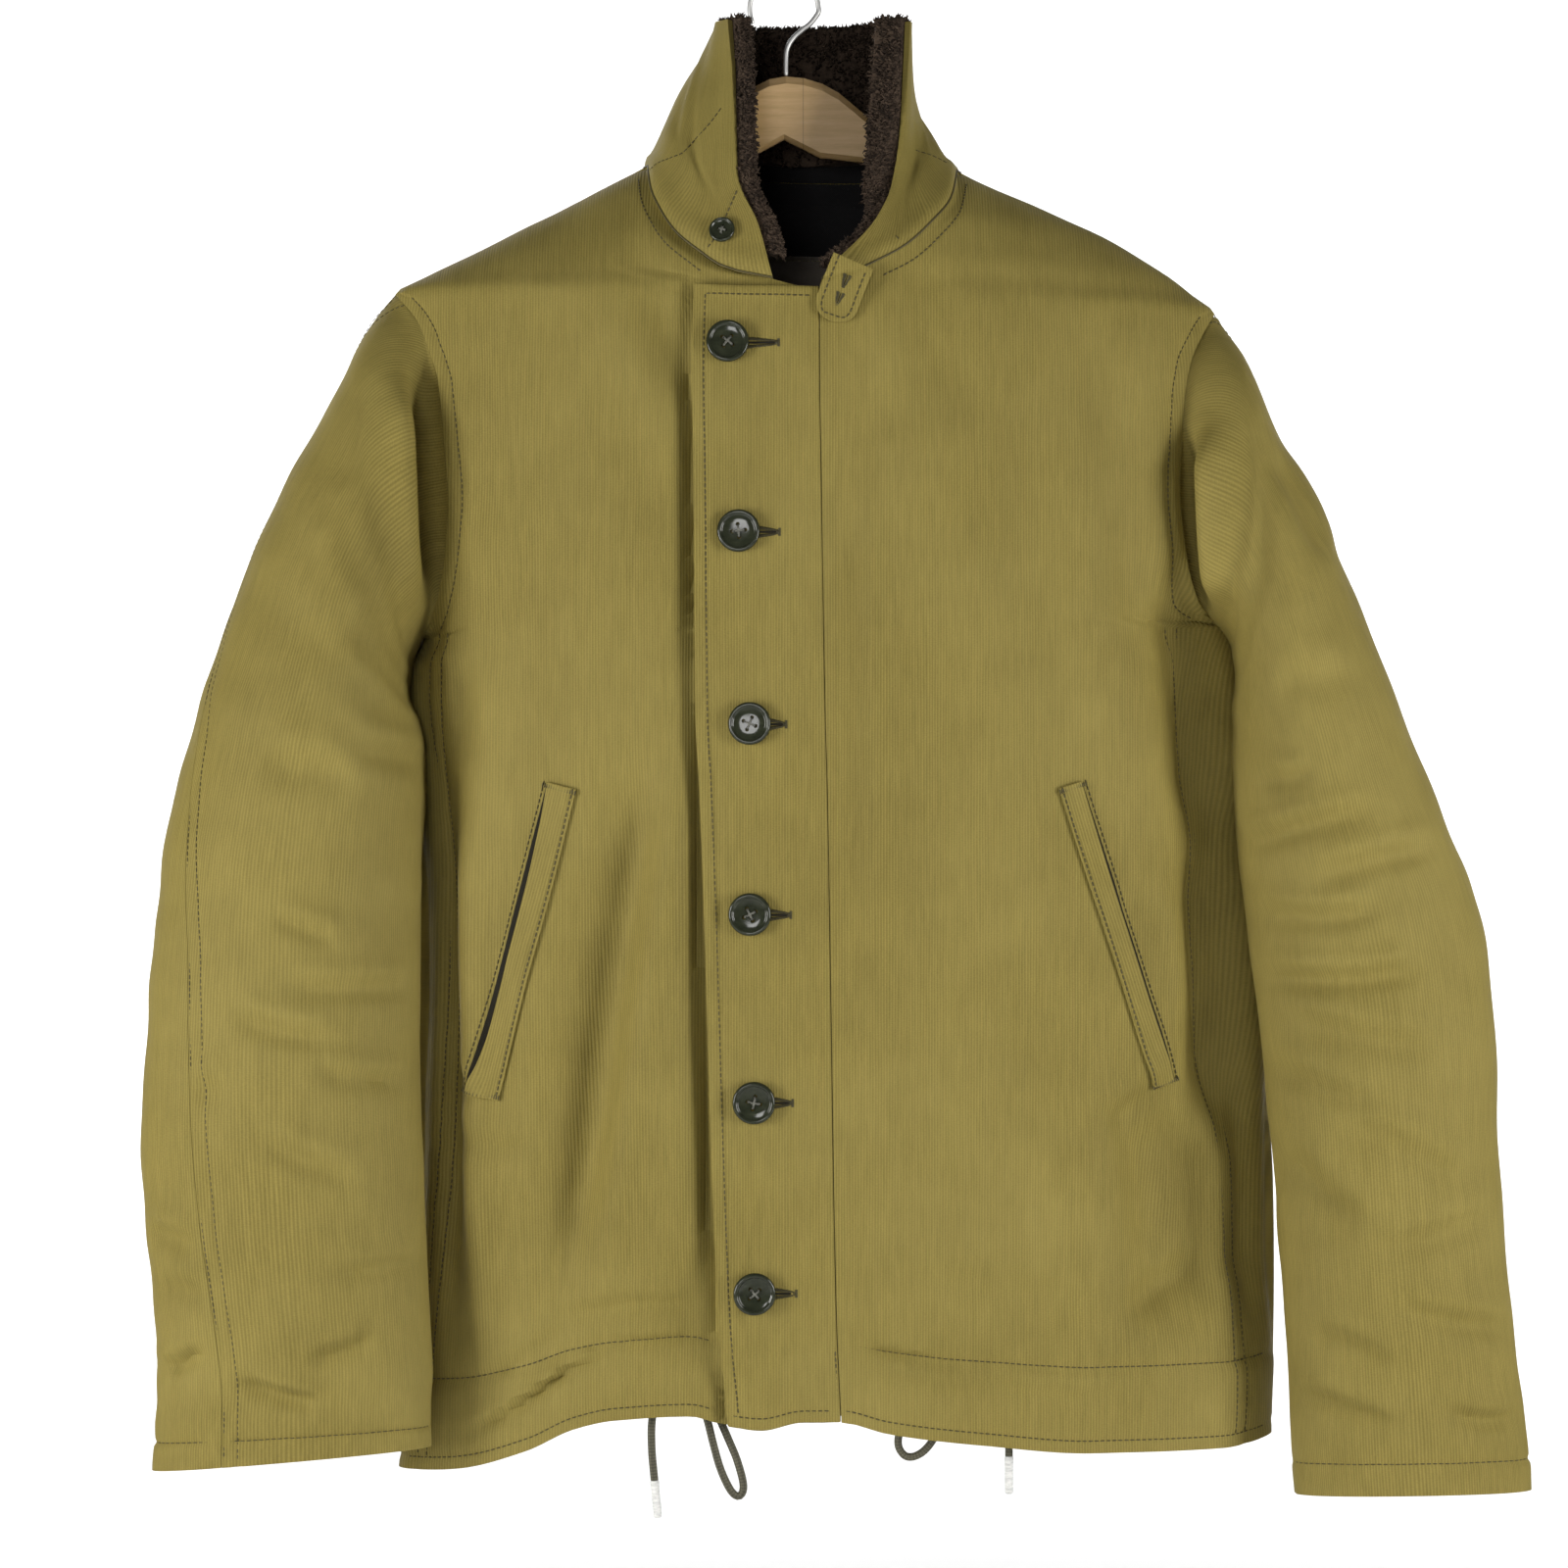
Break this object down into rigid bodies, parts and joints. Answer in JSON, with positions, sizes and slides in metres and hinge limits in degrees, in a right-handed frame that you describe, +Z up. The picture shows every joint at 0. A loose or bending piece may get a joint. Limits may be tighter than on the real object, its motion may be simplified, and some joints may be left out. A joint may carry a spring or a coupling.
{
  "type": "deck jacket on a hanger",
  "caption": "Stand-collar deck jacket of ribbed khaki cloth with a buttoned front, slanted welt pockets, pile collar facing and hem drawcords, hung on a wooden hanger.",
  "frame": {"origin": "the seat inside the top of the hanger's hook, where it hangs on a rail", "axes": "+Z up, the jacket's front faces -Y, the wearer's left is at +X"},
  "size_m": [0.7444, 0.1726, 0.8393],
  "materials": {
    "shell_cloth": "finely ribbed olive-khaki cotton cloth with a soft sheen",
    "pile": "short curly dark brown pile",
    "lining": "matt black lining",
    "label": "plain woven label, blank",
    "button": "polished dark green-grey resin",
    "wood": "clear-varnished pale wood",
    "steel": "bright plated wire",
    "cord": "braided grey-olive cord",
    "aglet": "milky clear plastic tip"
  },
  "bodies": {
    "root": {"front_right": "shell_cloth", "front_left": "shell_cloth", "placket": "shell_cloth", "back": "shell_cloth", "sleeve_right_top": "shell_cloth", "sleeve_right_under": "shell_cloth", "sleeve_left_top": "shell_cloth", "sleeve_left_under": "shell_cloth", "collar_shell": "shell_cloth", "throat_strap": "shell_cloth", "welt_right": "shell_cloth", "welt_left": "shell_cloth", "collar_pile": "pile", "back_lining": "lining", "neck_label": "label", "button_1": "button", "button_2": "button", "button_3": "button", "button_4": "button", "button_5": "button", "button_6": "button", "collar_button": "button", "hanger_wood": "wood", "hanger_hook": "steel", "cord_right": "cord", "cord_left": "cord", "aglet_right": "aglet", "aglet_left": "aglet"}
  },
  "joints": []
}
